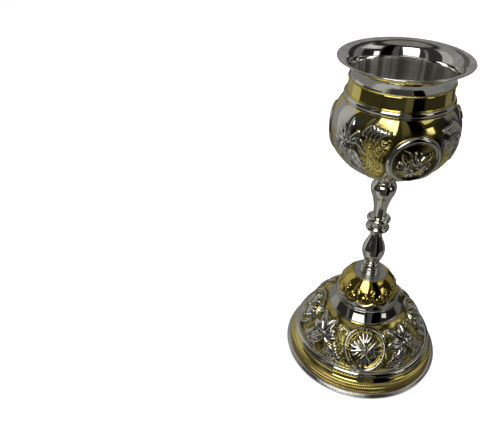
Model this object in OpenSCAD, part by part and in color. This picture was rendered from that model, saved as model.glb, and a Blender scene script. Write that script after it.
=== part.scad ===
// Communion chalice: a plain lining cup inside an embossed bowl, a turned stem and a domed foot.
// The cup's stud screws down into the stem. A tie rod with one nut pulls the stem onto the foot.
// Z is up, and the origin is the centre of the foot's underside.

/* [Cup] */
// Outer radius of the flared lip
lip_r = 43.5; // [41:0.5:46]
// Largest radius of the embossed bowl
bowl_r = 44.5; // [43:0.5:46]
// Radius of the neck just above the seam
neck_r = 34; // [33.5:0.1:35]
// Height of the cup, from the underside of the bowl to the lip
cup_h = 82; // [80:1:90]
// Thickness of the lining cup
liner_wall = 1; // [0.8:0.1:1.2]
// Thickness of the embossed bowl
bowl_wall = 0.9; // [0.7:0.1:1.1]

/* [Stem] */
// Height of the turned stem, from the cap disc to the seat of the cup
stem_h = 94; // [94:1:104]
// Largest radius of the two knop rings
knop_r = 9.2; // [8.5:0.1:10.5]
// Largest radius of the lower baluster
pear_r = 9; // [8:0.1:10]
// Radius of the stepped ring that stands on the cap disc
step_ring_r = 8.3; // [8:0.1:9.5]

/* [Foot] */
// Radius of the foot where it stands
foot_r = 65; // [64:0.5:68]
// Height of the foot, from the table to the cap disc
foot_h = 82; // [81:0.5:84]
// Thickness of the stamped foot pieces
foot_wall = 1; // [0.8:0.1:1.2]

/* [Threads] */
// Radius of the cup's threaded stud
stud_r = 4; // [3.5:0.1:4]
// Gap all round the stud in its threaded bore
stud_gap = 0.05; // [0.02:0.01:0.1]
// Radius of the tie rod
rod_r = 3; // [2.5:0.1:3]

/* [Hidden] */
$fn = 96;
curve_steps = 10;

// Heights of the foot's pieces above the table
base_ring_h = 4.8;
rope_h = 4.4;
skirt_z = base_ring_h + rope_h;
border_z = 15.8;
border_top_z = 20;
dome_top_z = 49.5;
cone_top_z = 57.4;
milled_top_z = 61;

// Radii of the foot's pieces
skirt_r = foot_r - 4.5;
border_r = foot_r - 7.8;
dome_low_r = foot_r - 12;
cone_low_r = 30.5;
cone_top_r = 25;
bell_low_r = 25.2;
cap_r = 14.6;
flange_r = 20;

// Heights of the stem's pieces
step_ring_top = foot_h + 7;
lower_bal_top = foot_h + 42.4;
knop_ring_top = lower_bal_top + 6.6;
knop_disc_top = knop_ring_top + 6;
seat_z = foot_h + stem_h;

// The washer and the petal rosette between the stem and the cup
face_gap = 0.05;
washer_h = 0.7;
rosette_h = 1.2;
cup_z = seat_z + washer_h + rosette_h + 2 * face_gap;

// Heights inside the cup, above the underside of the bowl
seam_h = cup_h - 14;
band_h = seam_h - 8.5;
bead_h = band_h - 5;
belly_h = 33;
liner_floor_h = 6;
plate_low_h = liner_floor_h - 2;

// The clamp under the foot
clamp_h = 2;
lock_h = 1.3;
nut_h = 5.2;
nut_flats = 10;
rod_end = 2;

silver = [0.72, 0.71, 0.69];
satin = [0.62, 0.61, 0.59];
gold = [0.83, 0.69, 0.27];
steel = [0.55, 0.56, 0.58];

// A smooth curve from a to d that leaves towards b and arrives from c
function curve(a, b, c, d) = [for (i = [0 : curve_steps])
    let (t = i / curve_steps, u = 1 - t)
    u * u * u * a + 3 * u * u * t * b + 3 * u * t * t * c + t * t * t * d];

// A half-round from angle a0 to angle a1 about a centre
function arc(centre, r, a0, a1) = [for (i = [0 : curve_steps])
    let (a = a0 + (a1 - a0) * i / curve_steps)
    centre + r * [cos(a), sin(a)]];

// One outline after another, without its first point, which they share
function join(a, b) = concat(a, [for (i = [1 : len(b) - 1]) b[i]]);

// The direction of an outline at its point i
function heading(p, i) =
    let (d = p[min(i + 1, len(p) - 1)] - p[max(i - 1, 0)]) d / norm(d);

// A strip of even thickness to the left of an outline
function strip(p, wall) = concat(p, [for (i = [len(p) - 1 : -1 : 0])
    let (d = heading(p, i)) p[i] + wall * [-d[1], d[0]]]);

function lift(p, z) = [for (q = p) q + [0, z]];

module turned(outline) {
    rotate_extrude() polygon(outline);
}

module bored(outline, bore_r) {
    difference() {
        turned(outline);
        translate([0, 0, -1]) cylinder(r = bore_r, h = foot_h + stem_h + cup_h);
    }
}

// ---------- cup ----------

module cup_liner() {
    flare = curve([neck_r, seam_h], [neck_r - 0.4, seam_h + 6],
                  [lip_r - 7.5, cup_h - 2.6], [lip_r, cup_h - 0.5]);
    throat_r = neck_r - bowl_wall;
    wall_up = [[throat_r - 0.8, 22], [throat_r, 45], [throat_r, seam_h]];
    hollow = curve([20, liner_floor_h], [27, liner_floor_h], [throat_r - 1.6, 12], wall_up[0]);
    inner_hollow = curve([throat_r - 0.8 - liner_wall, 22], [throat_r - 1.6 - liner_wall, 12.8],
                         [26, liner_floor_h + liner_wall], [19.5, liner_floor_h + liner_wall]);
    inner_flare = curve([lip_r - 0.3, cup_h], [lip_r - 8, cup_h - 1.9],
                        [throat_r - liner_wall, seam_h + 6], [throat_r - liner_wall, seam_h - 2]);
    outside = concat([[0, liner_floor_h]], hollow, [wall_up[1], wall_up[2]], flare);
    inside = concat(inner_flare, [[throat_r - liner_wall, 45]], inner_hollow,
                    [[0, liner_floor_h + liner_wall]]);
    color(silver) turned(lift(concat(outside, inside), cup_z));
}

module bowl_shell() {
    foot_hole_r = stud_r + 0.1;
    collar_r = neck_r - 0.1;
    belly = join(curve([8, 0], [22, 0], [bowl_r, 10], [bowl_r, belly_h]),
                 curve([bowl_r, belly_h], [bowl_r, belly_h + 13],
                       [neck_r + 5, bead_h - 3], [neck_r + 2.2, bead_h]));
    bead = arc([neck_r + 0.4, (bead_h + band_h) / 2], 2.5, -45, 45);
    band = [[neck_r + 0.7, band_h], [collar_r + 0.3, seam_h - 1], [collar_r, seam_h]];
    back = curve([collar_r - bowl_wall + 0.1, bead_h], [neck_r + 4, bead_h - 3],
                 [bowl_r - bowl_wall, belly_h + 13], [bowl_r - bowl_wall, belly_h]);
    back_low = curve([bowl_r - bowl_wall, belly_h], [bowl_r - bowl_wall, 10.8],
                     [22, bowl_wall], [8, bowl_wall]);
    outside = concat([[foot_hole_r, 0]], belly, bead, band);
    inside = concat([[neck_r - bowl_wall, seam_h]], join(back, back_low),
                    [[foot_hole_r, bowl_wall]]);
    color(gold) turned(lift(concat(outside, inside), cup_z));
}

module seam_wire() {
    wire_r = 0.45;
    color(gold)
    translate([0, 0, cup_z + seam_h + wire_r])
    rotate_extrude() translate([neck_r + wire_r, 0]) circle(r = wire_r, $fn = 24);
}

module stud_plate() {
    color(steel) translate([0, 0, cup_z])
    difference() {
        union() {
            translate([0, 0, plate_low_h]) cylinder(r = 14, h = liner_floor_h - plate_low_h);
            translate([0, 0, bowl_wall]) cylinder(r = 7.5, h = plate_low_h - bowl_wall);
        }
        cylinder(r = stud_r, h = liner_floor_h);
    }
}

module cup_stud() {
    stud_down = 13.5;
    tip = 1;
    color(steel) turned([
        [0, seat_z - stud_down], [stud_r - tip, seat_z - stud_down],
        [stud_r, seat_z - stud_down + tip], [stud_r, cup_z + liner_floor_h],
        [0, cup_z + liner_floor_h]
    ]);
}

module petal_rosette() {
    petals = 8;
    disc_r = 6.8;
    petal_r = 2.4;
    color(gold) translate([0, 0, cup_z - rosette_h])
    difference() {
        union() {
            cylinder(r = disc_r, h = rosette_h);
            for (i = [0 : petals - 1])
                rotate([0, 0, i * 360 / petals])
                translate([disc_r, 0, 0])
                cylinder(r = petal_r, h = rosette_h, $fn = 32);
        }
        translate([0, 0, -1]) cylinder(r = stud_r + 0.1, h = rosette_h + 2);
    }
}

// ---------- seat ----------

module seat_washer() {
    color(steel) translate([0, 0, seat_z + face_gap])
    difference() {
        cylinder(r = 6.6, h = washer_h);
        translate([0, 0, -1]) cylinder(r = stud_r + 0.3, h = washer_h + 2);
    }
}

// ---------- stem ----------

module upper_baluster() {
    waist_z = knop_disc_top;
    ball_low = seat_z - 21.5;
    ball_top = seat_z - 8;
    rod_top = waist_z + 12;
    bore_low = seat_z - 16;
    taper = curve([5, waist_z + 1], [4.8, waist_z + 8], [6, ball_low - 5], [7.4, ball_low]);
    ball = curve([7.4, ball_low], [9.2, ball_low + 4], [11.4, ball_top - 3.5], [7, ball_top]);
    neck = join(curve([7, ball_top], [6.3, ball_top + 0.6], [6.3, ball_top + 1.4], [6.6, ball_top + 2]),
                arc([6.2, ball_top + 3.4], 1.4, -70, 70));
    outline = concat([[0, waist_z], [5.6, waist_z], [5.6, waist_z + 0.5]],
                     join(taper, ball), neck, [[6.6, seat_z - 2], [6.6, seat_z], [0, seat_z]]);
    color(silver) difference() {
        turned(outline);
        translate([0, 0, waist_z - 1]) cylinder(r = rod_r, h = rod_top - waist_z + 1);
        translate([0, 0, bore_low]) cylinder(r = stud_r + stud_gap, h = seat_z - bore_low + 1);
    }
}

module knop_disc() {
    edge_z = knop_disc_top - 1.9;
    color(silver) bored(concat(
        [[0, knop_ring_top], [7.3, knop_ring_top], [7.3, knop_ring_top + 1.4]],
        arc([knop_r - 1.7, edge_z], 1.7, -60, 60),
        [[6.4, knop_disc_top], [0, knop_disc_top]]
    ), rod_r);
}

module knop_ring() {
    edge_z = lower_bal_top + 2.4;
    color(silver) bored(concat(
        [[0, lower_bal_top], [5.4, lower_bal_top]],
        arc([knop_r - 2, edge_z], 2, -70, 70),
        [[7.4, knop_ring_top - 1.4], [7.4, knop_ring_top], [0, knop_ring_top]]
    ), rod_r);
}

module lower_baluster() {
    pear_z = foot_h + 22.4;
    low = join(arc([5.4, step_ring_top + 1.9], 1.2, -70, 70),
               curve([5.4 + 1.2 * cos(70), step_ring_top + 1.9 + 1.2 * sin(70)],
                     [5.4, step_ring_top + 5], [pear_r, pear_z - 6.5], [pear_r, pear_z]));
    high = curve([pear_r, pear_z], [pear_r, pear_z + 7], [4.4, lower_bal_top - 10],
                 [4.4, lower_bal_top - 1.5]);
    color(silver) bored(concat(
        [[0, step_ring_top], [5.2, step_ring_top]],
        join(low, high),
        [[5.4, lower_bal_top], [0, lower_bal_top]]
    ), rod_r);
}

module step_ring() {
    edge = 1.1;
    color(silver) bored(concat(
        [[0, foot_h]],
        arc([step_ring_r - edge, foot_h + edge], edge, -90, 80),
        arc([step_ring_r - edge - 0.2, foot_h + 3.2], edge, -80, 80),
        arc([step_ring_r - 1.7, foot_h + 5.6], 1.4, -75, 90),
        [[0, step_ring_top]]
    ), rod_r);
}

// ---------- foot ----------

module cap_disc() {
    disc_h = 1.2;
    color(satin) bored([
        [0, foot_h - disc_h], [cap_r - 1.2, foot_h - disc_h], [cap_r - 1.2, foot_h], [0, foot_h]
    ], rod_r + 0.1);
}

module foot_bell() {
    ledge_z = foot_h - 1.2;
    outside = curve([bell_low_r, milled_top_z + 1], [24.5, 71], [20.5, foot_h - 2], [cap_r, foot_h]);
    inside = curve([cap_r - 1.2, ledge_z - foot_wall], [19.4, ledge_z - 3],
                   [bell_low_r - 1.7, 70], [bell_low_r - foot_wall, milled_top_z + foot_wall]);
    color(gold) bored(concat(
        [[0, ledge_z - foot_wall], [0, ledge_z], [cap_r - 1.2, ledge_z], [cap_r - 1.2, foot_h]],
        [for (i = [curve_steps : -1 : 0]) outside[i]],
        [[bell_low_r, milled_top_z], [flange_r, milled_top_z],
         [flange_r, milled_top_z + foot_wall]],
        [for (i = [curve_steps : -1 : 0]) inside[i]]
    ), rod_r + 0.1);
}

module milled_ring() {
    bead = 0.7;
    color(silver) turned(concat(
        [[cone_top_r - 3, cone_top_z]],
        arc([cone_top_r + 0.4, cone_top_z + bead], bead, -90, 80),
        arc([cone_top_r + 0.2, milled_top_z - bead], bead, -80, 90),
        [[cone_top_r - 3, milled_top_z]]
    ));
}

module cone_band() {
    bead = 0.6;
    face = curve([cone_low_r - 0.5, dome_top_z + 2 * bead], [27.4, 53.2],
                 [25.8, 55.4], [cone_top_r, cone_top_z]);
    color(silver) turned(concat(
        [[cone_low_r - 2.2, dome_top_z]],
        arc([cone_low_r - 0.2, dome_top_z + bead], bead, -90, 60),
        face,
        [[flange_r, cone_top_z], [flange_r, cone_top_z - foot_wall],
         [cone_top_r - foot_wall - 0.4, cone_top_z - foot_wall]]
    ));
}

module foot_dome() {
    plate_r = cone_low_r - 6;
    skirt = [[skirt_r - 3, base_ring_h], [skirt_r - 3, skirt_z], [skirt_r - 0.6, skirt_z]];
    bead = arc([skirt_r - 0.7, skirt_z + 1.2], 1.2, -80, 70);
    cavetto = curve([skirt_r - 0.4, skirt_z + 2.6], [skirt_r - 2.6, skirt_z + 2.8],
                    [border_r + 0.3, border_z - 3], [border_r, border_z]);
    border = arc([(border_r + dome_low_r) / 2, (border_z + border_top_z) / 2],
                 norm([border_r - dome_low_r, border_top_z - border_z]) / 2, -38, 127);
    dome = curve([dome_low_r, border_top_z], [dome_low_r - 1.5, 32],
                 [cone_low_r + 11.5, dome_top_z - 3], [cone_low_r, dome_top_z]);
    back = curve([cone_low_r, dome_top_z - foot_wall], [cone_low_r + 10.5, dome_top_z - 4],
                 [dome_low_r - 2.8, 31], [dome_low_r - 1.2, border_top_z - 1]);
    color(gold) turned(concat(
        skirt, bead, cavetto, border, dome,
        [[plate_r, dome_top_z], [plate_r, dome_top_z - foot_wall]], back,
        [[skirt_r - 4.6, skirt_z + 1.6], [skirt_r - 4.6, base_ring_h]]
    ));
}

module rope_wire() {
    wire_r = rope_h / 2;
    color(gold)
    translate([0, 0, base_ring_h + wire_r])
    rotate_extrude() translate([skirt_r - 3 + wire_r + 0.05, 0]) circle(r = wire_r, $fn = 32);
}

module base_ring() {
    edge = base_ring_h / 2;
    color(silver) turned(concat(
        [[foot_r - 8, 0]],
        arc([foot_r - edge, edge], edge, -90, 90),
        [[foot_r - 8, base_ring_h]]
    ));
}

// ---------- clamp ----------

module tie_rod() {
    rod_low = dome_top_z - foot_wall - clamp_h - lock_h - nut_h - rod_end;
    rod_top = knop_disc_top + 12;
    color(steel) translate([0, 0, rod_low]) cylinder(r = rod_r, h = rod_top - rod_low);
}

module clamp_plate() {
    plate_z = dome_top_z - foot_wall - clamp_h;
    color(steel) translate([0, 0, plate_z]) difference() {
        cylinder(r = cone_low_r - 1.5, h = clamp_h);
        translate([0, 0, -1]) cylinder(r = rod_r + 0.1, h = clamp_h + 2);
    }
}

module lock_washer() {
    washer_z = dome_top_z - foot_wall - clamp_h - lock_h;
    split = 1.2;
    color(steel) translate([0, 0, washer_z]) difference() {
        cylinder(r = 5.6, h = lock_h);
        translate([0, 0, -1]) cylinder(r = rod_r + 0.1, h = lock_h + 2);
        translate([0, -split / 2, -1]) cube([8, split, lock_h + 2]);
    }
}

module foot_nut() {
    nut_z = dome_top_z - foot_wall - clamp_h - lock_h - nut_h;
    color(steel) translate([0, 0, nut_z]) difference() {
        cylinder(r = nut_flats / 2 / cos(30), h = nut_h, $fn = 6);
        translate([0, 0, -1]) cylinder(r = rod_r, h = nut_h + 2);
    }
}

cup_liner();
bowl_shell();
seam_wire();
stud_plate();
cup_stud();
petal_rosette();
seat_washer();
upper_baluster();
knop_disc();
knop_ring();
lower_baluster();
step_ring();
cap_disc();
foot_bell();
milled_ring();
cone_band();
foot_dome();
rope_wire();
base_ring();
tie_rod();
clamp_plate();
lock_washer();
foot_nut();
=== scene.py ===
"""A communion chalice: embossed and turned metalwork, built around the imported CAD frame.

Outlines are (radius, height) pairs in millimetres, drawn anticlockwise: up the outside and
down the inside. Relief is a height over a grid that is wrapped round such an outline.
Azimuths are degrees from +X, anticlockwise seen from above.
"""

import math

import bpy
import numpy as np
from mathutils import Matrix, Vector


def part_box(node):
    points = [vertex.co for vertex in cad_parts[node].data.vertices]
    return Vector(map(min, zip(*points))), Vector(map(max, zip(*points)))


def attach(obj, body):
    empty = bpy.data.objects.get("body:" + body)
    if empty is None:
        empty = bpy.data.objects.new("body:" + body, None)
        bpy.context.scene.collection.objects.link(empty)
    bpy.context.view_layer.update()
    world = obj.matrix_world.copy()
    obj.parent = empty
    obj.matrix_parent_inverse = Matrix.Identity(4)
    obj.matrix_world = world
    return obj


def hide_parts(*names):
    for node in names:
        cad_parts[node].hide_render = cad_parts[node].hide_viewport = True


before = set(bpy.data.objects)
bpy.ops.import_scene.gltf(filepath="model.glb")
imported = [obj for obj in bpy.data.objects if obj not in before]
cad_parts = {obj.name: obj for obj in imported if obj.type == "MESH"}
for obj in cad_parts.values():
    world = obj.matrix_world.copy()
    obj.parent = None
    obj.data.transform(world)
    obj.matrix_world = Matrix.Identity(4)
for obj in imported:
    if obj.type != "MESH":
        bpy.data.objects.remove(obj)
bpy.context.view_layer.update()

MM = 0.001
FOOT = "foot_and_stem"
CUP = "cup"
SEED = 7
rng = np.random.default_rng(SEED)


# ---------- sizes in mm: first those that the frame gives ----------

def low(node):
    """The height of a node's underside."""
    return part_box(node)[0][2] / MM


def high(node, axis=2):
    """The height of a node's top, or with axis 0 its radius."""
    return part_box(node)[1][axis] / MM


lip_z = high("cup_liner")
lip_r = high("cup_liner", 0)
cup_z = low("bowl_shell")
seam_z = high("bowl_shell")
bowl_r = high("bowl_shell", 0)
floor_z = low("cup_liner")
seat_z = high("upper_baluster")
disc_top = high("knop_disc")
ring_top = high("knop_ring")
low_top = high("lower_baluster")
step_top = high("step_ring")
foot_h = high("cap_disc")
milled_top = high("milled_ring")
cone_top = high("cone_band")
dome_top = high("foot_dome")
base_top = high("base_ring")
rope_top = high("rope_wire")
foot_r = high("base_ring", 0)
rod_r = high("tie_rod", 0)
knop_r = high("knop_disc", 0)
pear_r = high("lower_baluster", 0)
step_r = high("step_ring", 0)

# Those inside a node, as in the CAD
sheet = 0.9
neck_r = 34.0
throat_r = neck_r - sheet
bead_low = seam_z - 13.5
band_low = seam_z - 8.5
belly_r = bowl_r - 1.4
belly_z = cup_z + 33.0
cone_r = 30.5
dome_low_r = foot_r - 12
border_r = foot_r - 7.8
border_z = 15.8
border_top = 20.0
skirt_r = foot_r - 4.5


# ---------- outlines ----------

def curve(a, b, c, d, steps=40):
    """A smooth curve from a to d that leaves towards b and arrives from c."""
    t = np.linspace(0, 1, steps + 1)[:, None]
    u = 1 - t
    a, b, c, d = (np.array(p, float) for p in (a, b, c, d))
    return u**3 * a + 3 * u * u * t * b + 3 * u * t * t * c + t**3 * d


def arc(centre, radius, start, end, steps=14):
    a = np.radians(np.linspace(start, end, steps + 1))
    return np.array(centre) + radius * np.stack([np.cos(a), np.sin(a)], 1)


def polar(radius, angle):
    """The point at a radius and an angle in degrees."""
    return radius * math.cos(math.radians(angle)), radius * math.sin(math.radians(angle))


def chain(*parts):
    """One outline after another, without repeating a point that two of them share."""
    out = []
    for part in parts:
        for p in np.atleast_2d(np.array(part, float)):
            if not out or np.hypot(*(p - out[-1])) > 1e-4:
                out.append(p)
    return np.array(out)


def run_of(points):
    """How far along an outline each of its points is."""
    return np.r_[0, np.cumsum(np.hypot(*np.diff(points, axis=0).T))]


def heading_of(points):
    """The direction of an outline at each of its points."""
    heading = np.gradient(points, axis=0)
    return heading / np.linalg.norm(heading, axis=1)[:, None]


def even(points, spacing):
    """The same outline with points at an even spacing."""
    run = run_of(points)
    count = max(2, int(round(run[-1] / spacing)) + 1)
    at = np.linspace(0, run[-1], count)
    return np.stack([np.interp(at, run, points[:, k]) for k in (0, 1)], 1)


def inward(points, wall):
    """The back of a sheet: the outline moved to its left, in the opposite order."""
    heading = heading_of(points)
    return (points + wall * np.stack([-heading[:, 1], heading[:, 0]], 1))[::-1]


# ---------- meshes ----------

def row_of(angle, r, z):
    """A row of points round the axis; r and z are numbers, or change with the angle."""
    return np.stack([r * np.cos(angle), r * np.sin(angle), z + 0 * angle], 1)


def build(name, rows, material, body, replaces=(), sharp=None, layers=None):
    """A closed mesh from rows of points round the axis; a row of one point lies on it."""
    verts = np.concatenate(rows) * MM
    starts = np.cumsum([0] + [len(r) for r in rows])
    columns = max(len(r) for r in rows)
    j = np.arange(columns)
    k = (j + 1) % columns
    faces = []
    for i in range(len(rows)):
        n = (i + 1) % len(rows)
        a, b = starts[i], starts[n]
        if len(rows[i]) > 1 and len(rows[n]) > 1:
            faces += np.stack([a + j, a + k, b + k, b + j], 1).tolist()
        elif len(rows[i]) > 1:
            faces += np.stack([a + j, a + k, b + 0 * j], 1).tolist()
        elif len(rows[n]) > 1:
            faces += np.stack([a + 0 * j, b + k, b + j], 1).tolist()
    mesh = bpy.data.meshes.new(name)
    mesh.from_pydata(verts.tolist(), [], faces)
    mesh.polygons.foreach_set("use_smooth", np.ones(len(mesh.polygons), bool))
    if sharp:
        mesh.set_sharp_from_angle(angle=math.radians(sharp))
    for key, values in (layers or {}).items():
        layer = mesh.attributes.new(key, "FLOAT", "POINT")
        layer.data.foreach_set("value", values.astype(np.float32))
    mesh.materials.append(material)
    mesh.update()
    piece = bpy.data.objects.new(name, mesh)
    bpy.context.scene.collection.objects.link(piece)
    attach(piece, body)
    if replaces:
        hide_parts(*replaces)
    return piece


def turned(name, outline, material, body, replaces=(), columns=192, sharp=32, texture=None):
    """A turned piece. texture(angle, run, r, z) is how far its skin stands out, in mm."""
    outline = chain(outline)
    if np.hypot(*(outline[0] - outline[-1])) < 1e-4:
        outline = outline[:-1]
    angle = np.linspace(0, 2 * np.pi, columns, endpoint=False)
    heading = np.roll(outline, -1, 0) - np.roll(outline, 1, 0)
    heading /= np.maximum(np.linalg.norm(heading, axis=1), 1e-9)[:, None]
    rows = []
    for (r, z), (dr, dz), s in zip(outline, heading, run_of(outline)):
        if r < 1e-6:
            rows.append(np.array([[0.0, 0.0, z]]))
            continue
        out = texture(angle, s, r, z) if texture else 0 * angle
        rows.append(row_of(angle, r + out * dz, z - out * dr))
    return build(name, rows, material, body, replaces, sharp)


def bump(t):
    """A round ridge: 1 at t = 0, falling to 0 at t = 1 and -1."""
    return np.sqrt(np.clip(1 - t * t, 0, 1))


def soft(t):
    """A smooth step from 0 at t = 0 to 1 at t = 1."""
    t = np.clip(t, 0, 1)
    return t * t * (3 - 2 * t)


class Relief:
    """A height in mm over a sheet that is wrapped round an outline, and the sheet's finish.

    silver is 1 on silver plate and 0 on gold, grain is 1 on punched ground, and tarnish is 1
    where black shade is painted. A place is an azimuth and s, the distance up the outline in mm.
    """

    def __init__(self, face, columns, spacing, deep):
        """deep is how far below the work round it a hollow is fully darkened by tarnish and
        painted shade, in mm.
        """
        self.deep = deep
        self.face = even(face, spacing)
        self.r = self.face[:, 0]
        self.s = run_of(self.face)
        self.angle = np.linspace(0, 2 * np.pi, columns, endpoint=False)
        shape = (len(self.r), columns)
        self.height = np.zeros(shape)
        self.silver = np.zeros(shape)
        self.grain = np.zeros(shape)
        # Painted shade: 1 where a dish's upper part is painted black
        self.tarnish = np.zeros(shape)
        # How far a motif's middle is drawn below its place, and within what radius
        self.sag = (0.0, 1.0)
        # How wide a motif is drawn, as a share of its own width
        self.narrow = 1.0

    def patch(self, azimuth, s, reach):
        """Grid indices near a point, and their x (anticlockwise) and y (up) from it in mm."""
        rows = np.where(np.abs(self.s - s) <= reach)[0]
        narrow = max(self.r[rows].min(), 4.0)
        turn = (self.angle - math.radians(azimuth) + np.pi) % (2 * np.pi) - np.pi
        cols = np.where(np.abs(turn) <= reach / narrow)[0]
        x = turn[cols][None, :] * self.r[rows][:, None] / self.narrow
        y = (self.s[rows] - s)[:, None] + 0 * x
        drop, wide = self.sag
        y = y + drop * np.clip(1 - (x * x + y * y) / wide**2, 0, 1)
        return np.ix_(rows, cols), x, y

    def add(self, at, height, inside, silver):
        """Raises a smooth motif out of what is there already."""
        wins = inside & (height > self.height[at])
        self.height[at] = np.where(wins, height, self.height[at])
        self.silver[at] = np.where(wins, silver, self.silver[at])
        self.grain[at] = np.where(wins, 0.0, self.grain[at])

    def leaf(self, azimuth, s, angle, length, width, start, plump, shift=(0.0, 0.0)):
        """Grid indices near a leaf, their share of its length, their distance from its midrib,
        half its width there, and which are on it."""
        at, x, y = self.patch(azimuth, s, start + length + abs(shift[0]) + abs(shift[1]) + 1)
        x, y = x - shift[0], y - shift[1]
        c, d = polar(1, angle)
        along = (x * c + y * d - start) / length
        across = y * c - x * d
        half = width / 2 * np.sin(np.pi * np.clip(along, 0, 1) ** plump) + 1e-6
        return at, along, across, half, (along > 0) & (along < 1) & (np.abs(across) < half)

    def petal(self, azimuth, s, angle, length, width, height, start=0.0, vein=0.35, silver=1.0,
              shift=(0.0, 0.0), plump=0.75):
        """A pointed leaf that leaves a centre at an angle. vein is the depth of its midrib as a
        share of its height, and with a small plump it is broadest near its foot."""
        at, along, across, half, inside = self.leaf(azimuth, s, angle, length, width, start,
                                                    plump, shift)
        h = height * (0.6 + 0.4 * bump(across / half)) * (0.8 + 0.2 * np.sin(np.pi * along))
        h = h - vein * height * np.exp(-((across / (0.13 * width)) ** 2))
        self.add(at, h, inside, silver)

    def inlay(self, azimuth, s, angle, length, width, start, depth, plump=0.85):
        """Sinks the middle of a leaf and leaves a narrow gold leaf standing in it."""
        at, _, across, half, inside = self.leaf(azimuth, s, angle, length, width, start, plump)
        middle = bump(np.abs(across) / half / 0.5)
        sunk = self.height[at] + depth * (0.9 * middle - 1)
        self.height[at] = np.where(inside, sunk, self.height[at])
        self.silver[at] = np.where(inside, 0.0, self.silver[at])

    def cloud(self, azimuth, s, wide, tall, seed, share):
        """An area of silver plate with a ragged edge and gold islands in it."""
        waves, finest, ragged = 7, 0.45, 0.16
        at, x, y = self.patch(azimuth, s, max(wide, tall) + 4)
        draw = np.random.default_rng(seed)
        wave = np.zeros(x.shape)
        for _ in range(waves):
            kx = draw.uniform(-finest, finest)
            ky = draw.uniform(-finest, finest)
            phase = draw.uniform(0, 6.28)
            wave += np.sin(kx * x + ky * y + phase)
        edge = 1 - (x / wide) ** 2 - (y / tall) ** 2 + ragged * wave
        self.silver[at] = np.where(edge > 1 - share, 1.0, self.silver[at])

    def stroke(self, azimuth, s, path, width, height, silver=1.0):
        """A round ridge along a path of local points; width is (first, last) in mm."""
        path = np.array(path, float)
        first, last = width
        at, x, y = self.patch(azimuth, s, np.abs(path).max() + max(width))
        best = np.full(x.shape, 1e9)
        for k, ((ax, ay), (bx, by)) in enumerate(zip(path[:-1], path[1:])):
            dx, dy = bx - ax, by - ay
            t = np.clip(((x - ax) * dx + (y - ay) * dy) / (dx * dx + dy * dy + 1e-9), 0, 1)
            half = (first + (last - first) * (k + t) / (len(path) - 1)) / 2
            best = np.minimum(best, np.hypot(x - ax - t * dx, y - ay - t * dy) / half)
        self.add(at, height * (0.35 + 0.65 * bump(best)), best < 1, silver)

    def spot(self, azimuth, s, x0, y0, radius):
        """Grid indices near a small round spot, and their distance from it in radii."""
        at, x, y = self.patch(azimuth, s, radius + max(abs(x0), abs(y0)) + 0.5)
        return at, np.hypot(x - x0, y - y0) / radius

    def bead(self, azimuth, s, x0, y0, radius, height, silver=1.0):
        at, d = self.spot(azimuth, s, x0, y0, radius)
        self.add(at, height * bump(d), d < 1, silver)

    def pit(self, azimuth, s, x0, y0, radius, depth):
        at, d = self.spot(azimuth, s, x0, y0, radius)
        self.height[at] -= depth * bump(d)

    def ring(self, azimuth, s, radius, width, height, silver=1.0):
        at, x, y = self.patch(azimuth, s, radius + width)
        d = np.abs(np.hypot(x, y) - radius)
        self.add(at, height * bump(d / (width / 2)), d < width / 2, silver)

    def clear(self, azimuth, s, radius):
        """Makes a round place smooth flat gold again, whatever is there."""
        at, x, y = self.patch(azimuth, s, radius + 1)
        inside = np.hypot(x, y) < radius
        for layer in (self.height, self.silver, self.grain):
            layer[at] = np.where(inside, 0.0, layer[at])

    def stipple(self, azimuth, s, x0, y0, wide, tall):
        """Fine punched grain over an oval of the ground."""
        at, x, y = self.patch(azimuth, s, abs(x0) + abs(y0) + max(wide, tall) + 2)
        inside = 1.3 - ((x - x0) / wide) ** 2 - ((y - y0) / tall) ** 2
        self.grain[at] = np.maximum(self.grain[at], soft(inside / 0.6))

    def smooth(self):
        """Rounds off the steps between one grid point and the next."""
        h = self.height
        h = (2 * h + np.roll(h, 1, 1) + np.roll(h, -1, 1)) / 4
        h = np.pad(h, ((1, 1), (0, 0)), "edge")
        self.height = (2 * h[1:-1] + h[2:] + h[:-2]) / 4

    def hollow(self):
        """How deep each point lies below the work round it, from 0 to 1, or the tarnish layer's
        painted shade where that is more.
        """
        passes = 14
        wide = self.height
        for _ in range(passes):
            wide = (np.roll(wide, 2, 1) + np.roll(wide, -2, 1) + wide) / 3
            p = np.pad(wide, ((2, 2), (0, 0)), "edge")
            wide = (p[4:] + p[:-4] + wide) / 3
        return np.maximum(np.clip((wide - self.height) / self.deep, 0, 1), self.tarnish)

    def make(self, name, back, material, body, replaces=()):
        """The piece: this face with its relief, which fades out over the first and last mm,
        closed by a plain back."""
        ends = soft(self.s) * soft(self.s[-1] - self.s)
        heading = heading_of(self.face)
        rows = []
        for i, (r, z) in enumerate(self.face):
            out = self.height[i] * ends[i]
            rows.append(row_of(self.angle, r + out * heading[i, 1], z - out * heading[i, 0]))
        for r, z in chain(back):
            rows.append(row_of(self.angle, r, z))
        spare = np.zeros((len(rows) - len(self.r)) * len(self.angle))
        layers = {
            "silver": np.r_[self.silver.ravel(), spare],
            "grain": np.r_[self.grain.ravel(), spare],
            "hollow": np.r_[self.hollow().ravel(), spare],
        }
        return build(name, rows, material, body, replaces, None, layers)


# ---------- materials ----------

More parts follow.
